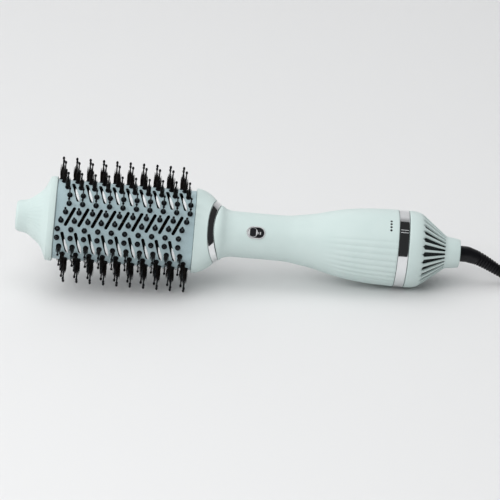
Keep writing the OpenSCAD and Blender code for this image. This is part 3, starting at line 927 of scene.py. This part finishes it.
def shoulderRing(t, inset, front, rear, sides=192):
    # front and rear are seams, each a station and how far it dips at the edges
    ring = []
    for q in turnSteps(sides):
        dip = math.cos(q) ** 2
        s = (front[0] + front[1] * dip) * (1 - t) + (rear[0] + rear[1] * dip) * t
        power = 2.5 - 0.5 * min(1, (s - shoulder["start"]) / shoulder["roundRun"])
        a, b = float(shoulderWidth(s)) - inset, float(shoulderDepth(s)) - inset
        ring.append((s, *squarish(q, a, b, power)))
    return ring


def seamBand(name, material, front, rear, wall, rounding, steps=24):
    # rounded at both seams, with its inner side back to the start
    edge = rounding / abs(rear[0] - front[0])
    outline = [(edge * (1 - math.cos(q)), rounding * (1 - math.sin(q))) for q in (0, 0.5, 1.0, 1.5)]
    middle = [(edge + (1 - 2 * edge) * k / steps, 0) for k in range(steps + 1)]
    back = [(1 - t, inset) for t, inset in reversed(outline)]
    inside = [(t, wall) for t in (1, 0.66, 0.33, 0)]
    rings = [shoulderRing(t, inset, front, rear) for t, inset in outline + middle + back + inside]
    verts, faces = loft(rings, looped=True)
    return newPiece(name, verts, faces, material, sharp=40)


def makeShoulder():
    shape = shoulder
    shell = seamBand("shoulderShell", finish["mint"], (shape["start"], 0), (shape["seamA"], shape["dipA"]),
                     shape["wall"], 0.45)
    place(shell, "brush", "mint_shell", "shoulder")
    ring = seamBand("frontRing", finish["chrome"], (shape["seamA"] + shape["gap"], shape["dipA"]),
                    (shape["seamB"] - shape["gap"], shape["dipB"]), shape["ringWall"], 0.5)
    place(ring, "brush", "chrome", "front_ring")


print("shoulder")
makeShoulder()


handle = {
    "shape": [[157, 22.6], [163.5, 22.3], [167, 19.9], [171, 18.8], [176, 18.4], [214, 18.4], [228, 20.1],
              [240, 22.2], [252, 25.3], [265, 28], [277, 29.5], [289, 30.4], [304.9, 30.9]],
    "end": 304.9, "wall": 2.2, "split": 0.05, "ribPitch": 10, "ribStart": 5, "ribCount": 19,
    "ribDepth": 0.62, "ribFrom": 242, "ribFull": 270, "saddleEnd": 171, "seamDrop": 0.25,
}
handleRadius = reader(handle["shape"])


def ribDip(station, angle):
    # soft hollows along the underside of the grip; angle in degrees from the switch side
    below = (handle["ribStart"] - angle) / handle["ribPitch"]
    if not 0 < below < handle["ribCount"]:
        return 0
    fade = ease(handle["ribFrom"], handle["ribFull"], station)
    ends = min(1, below, handle["ribCount"] - below)
    return -handle["ribDepth"] * fade * ends * (1 - abs(math.cos(math.pi * below)) ** 0.8)


def handleGrid(inset, side, count=193):
    # half a shell, from its saddle-shaped front seam to the selector ring
    saddleEnd = handle["saddleEnd"]
    stations = [k / 6 for k in range(6)]
    straight = [saddleEnd + (handle["end"] - saddleEnd) * k / 64 for k in range(65)]
    grid = []
    for row in stations + straight:
        line = []
        for i in range(count):
            q = math.pi * i / (count - 1)
            start = shoulder["seamB"] + shoulder["dipB"] * math.cos(q) ** 2
            s = row if row > 1 else start + (saddleEnd - start) * row
            angle = math.degrees(math.atan2(math.cos(q), side * math.sin(q)))
            signed = (angle + 180) % 360 - 180
            radius = float(handleRadius(s)) - inset + (ribDip(s, signed) if inset == 0 else 0)
            if inset == 0 and row == 0:
                radius -= handle["seamDrop"]
            y, z = radius * math.cos(q), radius * math.sin(q)
            line.append((s, y, side * max(z, handle["split"])))
        grid.append(line)
    return grid


switch = {"station": 191.7, "half": 2.45, "radius": 4.3, "rim": 0.7, "knobRadius": 3.9, "travel": 4.9,
          "floor": 16.4, "top": 18.75, "gripHalf": 2.45, "marks": ((2.1, 1.5), (3.6, 2.1)),
          "knobShape": [(0, 16.75), (0, 18.45), (0.12, 18.72), (0.4, 18.85), (1.0, 18.88)]}


def switchPill(half, radius, z, steps=10):
    points = []
    for end in (1, -1):
        for k in range(steps + 1):
            q = -math.pi / 2 + math.pi * k / steps
            x = switch["station"] + end * (half + radius * math.cos(q))
            points.append((x, end * radius * math.sin(q), z))
    return points


def makeHandle():
    for name, side, node in (("handleFront", 1, "handle_front"), ("handleBack", -1, "handle_back")):
        verts, faces = patchShell(handleGrid(0, side), handleGrid(handle["wall"], side))
        piece = newPiece(name, verts, faces, finish["mint"])
        if side > 0:
            hole = switch["radius"] + switch["rim"] + 0.15
            cutOut(piece, *loft([switchPill(switch["half"], hole, z) for z in (10, 24)], capped=True))
        softEdges(piece, 0.2, 2, 50)
        place(piece, "brush", "mint_shell", node)


print("handle")
makeHandle()


def makeSwitch():
    half, radius, rim = switch["half"], switch["radius"], switch["rim"]
    profile = [(rim, 15), (rim, switch["top"] - 0.3), (rim - 0.1, switch["top"] - 0.08),
               (rim - 0.3, switch["top"]), (0.12, switch["top"]), (0, switch["top"] - 0.12),
               (0, switch["floor"] - 0.1), (0, 15)]
    verts, faces = loft([switchPill(half, radius + grow, z) for grow, z in profile], looped=True)
    # the bezel's bright rim is a painted reflection: near-white silver in place of chrome
    bezel = newPiece("switchBezel", verts, faces, finish["paintedReflection"])
    place(bezel, "brush", "chrome", "switch_bezel")
    verts, faces = loft([switchPill(half, radius - 0.02, z) for z in (15.1, switch["floor"])], capped=True)
    well = newPiece("switchWell", verts, faces, finish["black"])
    slot = switchPill(switch["travel"] / 2 - 0.6, 1.4, 0)
    cutOut(well, *loft([[(x, y, z) for x, y, _ in slot] for z in (16.1, 20)], capped=True))
    place(well, "brush", "black_plastic")
    makeWellGlint()
    makeKnob()


def makeWellGlint():
    # two short bright bars on the well floor, a painted glint, uncovered while the knob is at its first stop
    bars = []
    for x, tall in switch["marks"]:
        corners = ((-1, -1), (1, -1), (1, 1), (-1, 1))
        outline = [(switch["station"] + x + 0.42 * a, tall / 2 * b) for a, b in corners]
        rings = [[(px, py, switch["floor"] + z) for px, py in outline] for z in (-0.05, 0.06)]
        bars.append(loft(rings, capped=True))
    marks = newPiece("switchMarks", *joined(bars), finish["paintedReflection"])
    place(marks, "brush", "white_plastic")


def makeKnob():
    centre = switch["station"] - switch["travel"] / 2
    radius = switch["knobRadius"]
    rings = [circle(radius - inset, z, 64, centre) for inset, z in switch["knobShape"]]
    # the knob is near-white silver, a painted reflection of its chrome
    knob = newPiece("switchKnob", *loft(rings, capped=True), finish["paintedReflection"])
    place(knob, "switch", "black_plastic", "switch_knob")
    # black grip across the knob, between two bright crescents of painted reflection
    grip = []
    for lift, shrink in ((18.80, 0.0), (19.02, 0.0), (19.08, 0.15)):
        reach, half = radius - 0.35 - shrink, switch["gripHalf"] - shrink
        grip.append([(centre + max(-half, min(half, x)), y, z) for x, y, z in circle(reach, lift, 64)])
    pad = newPiece("knobGrip", *loft(grip, capped=True), finish["black"])
    place(pad, "switch", "black_plastic")


print("switch")
makeSwitch()


selector = {"start": 305.25, "end": 313.15, "radius": 30.9, "bore": 28.28, "edge": 0.4,
            "index": 18.2, "turnStep": 5.4, "grooveDepth": 0.35, "grooveEdge": (0.5, 1.1),
            "lineAngle": 2.1, "lineHalf": 0.25, "lineInset": 0.9,
            "dots": 4, "dotStation": 298.4, "dotRadius": 0.95}


def polarPoint(station, radius, angle):
    # angle in degrees from the switch side, towards +Y
    return (station, radius * sinDeg(angle), radius * cosDeg(angle))


def makeSelectorRing():
    start, end, bore = selector["start"], selector["end"], selector["bore"]
    edge, r = selector["edge"], selector["radius"]
    corner = [(edge * (1 - math.cos(q)), r - edge * (1 - math.sin(q))) for q in (0.5, 1.0, 1.5)]
    profile = [(start, bore), (start, r - edge)] + [(start + x, y) for x, y in corner]
    profile += [(s, r) for s in np.linspace(start + 1, end - 1, 7)]
    profile += [(end - x, y) for x, y in reversed(corner)] + [(end, r - edge), (end, bore)]
    rings = []
    for s, radius in profile:
        ring = []
        for j in range(720):
            angle = j / 2
            away = abs((angle - selector["index"] + 180) % 360 - 180)
            groove = selector["grooveDepth"] * (1 - ease(*selector["grooveEdge"], away))
            ring.append(polarPoint(s, radius - (groove if radius > bore + 1 else 0), angle))
        rings.append(ring)
    piece = newPiece("selectorRing", *loft(rings, looped=True), finish["chrome"])
    place(piece, "selector", "chrome", "selector_ring")


def makeIndexLines():
    inset, half = selector["lineInset"], selector["lineHalf"]
    stations = np.linspace(selector["start"] + inset, selector["end"] - inset, 5)
    lines = []
    for side in (-selector["lineAngle"], selector["lineAngle"]):
        sheets = [[[polarPoint(s, selector["radius"] + lift, selector["index"] + side + e)
                    for e in (-half, half)] for s in stations] for lift in (0.03, -0.1)]
        lines.append(patchShell(*sheets))
    piece = newPiece("indexLines", *joined(lines), finish["white"])
    place(piece, "selector", "white_plastic")


def repeatAround(name, source, count, first, step, material, at=(0, 0), sharp=40, merge=0.0005):
    # copies of a shape around the brush in even steps of angle; at is their station and radius
    tree, given, names = startTree(name, {
        "Count": "Int", "First": "Float", "Step": "Float", "Station": "Float", "Radius": "Float",
        "Material": "Material"})
    line = treeNode(tree, "GeometryNodeMeshLine", {"Count": given["Count"], "Offset": (0, 0, 0)})
    index = treeNode(tree, "GeometryNodeInputIndex").outputs[0]
    angle = mathNode(tree, "MULTIPLY_ADD", index, given["Step"], given["First"])
    swung = treeNode(tree, "ShaderNodeVectorRotate", {
        "Vector": vectorNode(tree, X=given["Station"], Z=given["Radius"]), "Angle": angle},
        rotation_type="X_AXIS")
    moved = treeNode(tree, "GeometryNodeSetPosition", {
        "Geometry": line.outputs["Mesh"], "Offset": swung.outputs["Vector"]})
    shown = copies(tree, source, moved.outputs["Geometry"], given["Material"],
                   Rotation=vectorNode(tree, X=angle))
    treeNode(tree, "NodeGroupOutput", {"Geometry": shown})
    station, radius = at
    piece = runTree(name, tree, names, {
        "Count": count, "First": first, "Step": step, "Station": float(station),
        "Radius": float(radius), "Material": material}, sharp=sharp, merge=merge)
    bpy.data.objects.remove(source)
    return piece


def makeDots():
    # one dark dot for each setting, level with the ring's index when it is chosen
    r, station = selector["dotRadius"], selector["dotStation"]
    rings = [circle(radius, z, 24) for radius, z in ((r, -0.3), (r, 0.03), (r - 0.12, 0.06))]
    dot = newPiece("dotSource", *loft(rings, capped=True), finish["black"], Matrix())
    piece = repeatAround("settingDots", dot, selector["dots"], -math.radians(selector["index"]),
                         -math.radians(selector["turnStep"]), finish["black"],
                         (station, handleRadius(station)))
    place(piece, "brush", "black_plastic")


print("selector ring")
makeSelectorRing()
makeIndexLines()
makeDots()


tail = {
    "outline": [[313.5, 30.9], [318, 30.75], [321, 30.3], [323.6, 29.6], [326, 28.2], [329, 26.0],
                [334, 22.0], [340, 17.3], [344.5, 13.75], [347, 12.6], [351, 12.2], [355.6, 11.4]],
    "inner": [[300.5, 26.4], [321, 26.6], [325.2, 26.6], [345, 11.5], [346, 9.05], [354, 9.05],
              [354.2, 6.9], [356.6, 6.9]],
    "spigot": 28.2, "lipStation": 313.5, "lipRound": 0.25, "endRoundFrom": 355.6, "endRound": 0.5,
    "slots": 28, "slotPhase": 0.18, "slotStart": 327, "slotHalf": 2.05, "slotEnd": 343.4,
    "slimHalf": 0.85, "fillet": 0.4,
}


def slotHalf(s):
    front, end = tail["slotStart"], tail["slotEnd"]
    if s < front:
        return math.sqrt(max(0, tail["slotHalf"] ** 2 - (s - front) ** 2))
    if s > end:
        return math.sqrt(max(0, tail["slimHalf"] ** 2 - (s - end) ** 2))
    return tail["slotHalf"] + (tail["slimHalf"] - tail["slotHalf"]) * (s - front) / (end - front)


def tailStations():
    front, end = tail["slotStart"], tail["slotEnd"]
    stations = [300.5, 307, 313.1, 313.5, 313.65, 313.9, 315, 317, 319, 320.5, 322, 323.2, 324.4, 325.4]
    stations.append(326.2)
    stations += [front - tail["slotHalf"] * cosDeg(q) for q in range(0, 91, 15)]
    stations += [front + (end - front) * k / 14 for k in range(1, 15)]
    stations += [end + tail["slimHalf"] * sinDeg(q) for q in (30, 60, 90)]
    return stations + [345, 346, 347.5, 349.5, 352, 354, 355.4, 356.1, 356.45, 356.6]


def tailRadius(s, outline):
    lip, end = tail["lipStation"], tail["endRoundFrom"]
    radius = float(outline(s)) if s > lip + 0.05 else tail["spigot"]
    if lip < s < lip + 0.5:
        radius -= tail["lipRound"] * (1 - (s - lip) / 0.4)
    if s > end:
        radius -= tail["endRound"] * ((s - end) / 1.0) ** 2
    return radius


def sectorSide(side, shares=(0, 0.1, 0.22, 0.45, 0.72, 1)):
    # one bar's half, from the middle of a slot to the middle of the bar
    outline, (innerS, innerR) = reader(tail["outline"]), zip(*tail["inner"])
    stations = tailStations()
    drops = (1, 0.35, 0.06, 0, 0, 0)
    verts, faces = [], []
    for s in stations:
        radius, half = tailRadius(s, outline), slotHalf(s)
        inner = float(np.interp(s, innerS, innerR))
        room = math.pi * radius / tail["slots"] - half
        angles = [side * (half + share * room) / radius for share in shares]
        outside = [radius - min(half, tail["fillet"]) * drop for drop in drops]
        for reach in (outside, [inner] * len(shares)):
            verts += [(s, r * math.sin(angle), r * math.cos(angle)) for r, angle in zip(reach, angles)]
    m, last = len(shares), len(stations) - 1
    for i in range(last):
        a, b = i * 2 * m, (i + 1) * 2 * m
        for k in range(m - 1):
            faces.append((a + k, a + k + 1, b + k + 1, b + k))
            faces.append((a + m + k, b + m + k, b + m + k + 1, a + m + k + 1))
        if max(slotHalf(stations[i]), slotHalf(stations[i + 1])) > 1e-6:
            faces.append((a, b, b + m, a + m))
    for end in (0, last * 2 * m):
        faces += [(end + k, end + k + 1, end + m + k + 1, end + m + k) for k in range(m - 1)]
    return verts, faces


def makeTailSector():
    verts, faces = joined([sectorSide(1), sectorSide(-1)])
    mesh = bpy.data.meshes.new("tailSector")
    mesh.from_pydata(verts, [], faces)
    mesh.materials.append(finish["mint"])
    return newObject("tailSector", mesh)


def makeTail():
    step = 2 * math.pi / tail["slots"]
    piece = repeatAround("tailGrille", makeTailSector(), tail["slots"], step * tail["slotPhase"], step,
                         finish["mint"], sharp=45, merge=0.002)
    place(piece, "brush", "mint_shell", "tail_grille")


print("tail")
makeTail()


# CAD nodes that keep their shape get their finishes
kept = {
    "innerBlack": ["front_bulkhead", "rear_bulkhead", "air_guide", "fan_duct", "swivel_rotor"],
    "black": ["switch_body", "ion_emitter"],
    "white": ["impeller"],
    "mica": ["mica_boards"],
    "heater": ["heater_wire"],
    "steel": ["thermal_cutouts", "motor", "motor_shaft", "handle_screws"],
    "brass": ["selector_wiper", "slip_rings"],
    "board": ["control_board", "selector_board"],
    "screen": ["intake_screen"],
}
for name, nodes in kept.items():
    for node in nodes:
        mesh = frame["nodes"][node].data
        mesh.materials.clear()
        mesh.materials.append(finish[name])


studio = {"floorTone": 0.76, "floorReach": 30, "back": 1.0, "bend": 0.6, "height": 3.9, "halfWidth": 3.5,
          "worldLight": 0.42, "mirroredWorld": 0.03}


def makeSheet(name, line, halfWidth, material):
    # a sheet of paper along X, through the points (y, z)
    verts = [(x, y, z) for y, z in line for x in (-halfWidth, halfWidth)]
    faces = [(2 * i, 2 * i + 1, 2 * i + 3, 2 * i + 2) for i in range(len(line) - 1)]
    mesh = bpy.data.meshes.new(name)
    mesh.from_pydata(verts, [], faces)
    mesh.materials.append(material)
    mesh.shade_smooth()
    sheet = newObject(name, mesh)
    return sheet


def makeStage():
    material = startMaterial("studioPaper", (studio["floorTone"],) * 3, 0.9)
    bump(material, noiseOn(material, 300, 2.0), 0.02)
    reach = studio["floorReach"]
    makeSheet("studioFloor", [(-reach, 0), (reach, 0)], reach, material)
    bend = studio["bend"]
    line = [(studio["back"] + bend * sinDeg(q), bend - bend * cosDeg(q))
            for q in range(5, 91, 5)]
    line.append((studio["back"] + bend, studio["height"]))
    card = makeSheet("bounceCard", line, studio["halfWidth"], material)
    card.visible_camera = False    # it lights the brush and shows in the chrome, and leaves the back open
    card.visible_shadow = False    # the floor behind it stays lit


lamps = {
    "overhead": {"at": (-0.45, 0.1, 2.3), "aim": (-0.05, 0.35, 0), "size": (2.8, 1.8), "power": 27},
    "frontFill": {"at": (-0.8, -1.5, 1.6), "aim": (0, 0, 0.03), "size": (1.6, 0.9), "power": 19},
    "leftCard": {"at": (-1.9, -0.6, 0.9), "aim": (0, 0, 0.05), "size": (1.0, 1.0), "power": 9},
}


def addLight(name, at, aim, size, power):
    lamp = bpy.data.lights.new(name, "AREA")
    lamp.shape = "RECTANGLE"
    lamp.size, lamp.size_y = size
    lamp.energy = power
    light = newObject(name, lamp)
    light.location = at
    light.rotation_euler = (Vector(aim) - Vector(at)).to_track_quat("-Z", "Y").to_euler()
    light.visible_glossy = False    # no bright patches in the chrome


def makeLights():
    bpy.context.scene.view_settings.view_transform = "Standard"
    for name, lamp in lamps.items():
        addLight(name, **lamp)
    world = bpy.data.worlds.new("studio")
    bpy.context.scene.world = world
    world.use_nodes = True
    background = world.node_tree.nodes["Background"]
    background.inputs["Color"].default_value = (0.96, 0.98, 1, 1)
    # chrome sees a darker room than the one that fills the shadows
    ray = addNode(world, "ShaderNodeLightPath")
    strength = addNode(world, "ShaderNodeMapRange", **{
        "To Min": studio["worldLight"], "To Max": studio["mirroredWorld"]})
    link(world, ray.outputs["Is Glossy Ray"], strength.inputs["Value"])
    link(world, strength.outputs["Result"], background.inputs["Strength"])


print("studio")
makeStage()
makeLights()
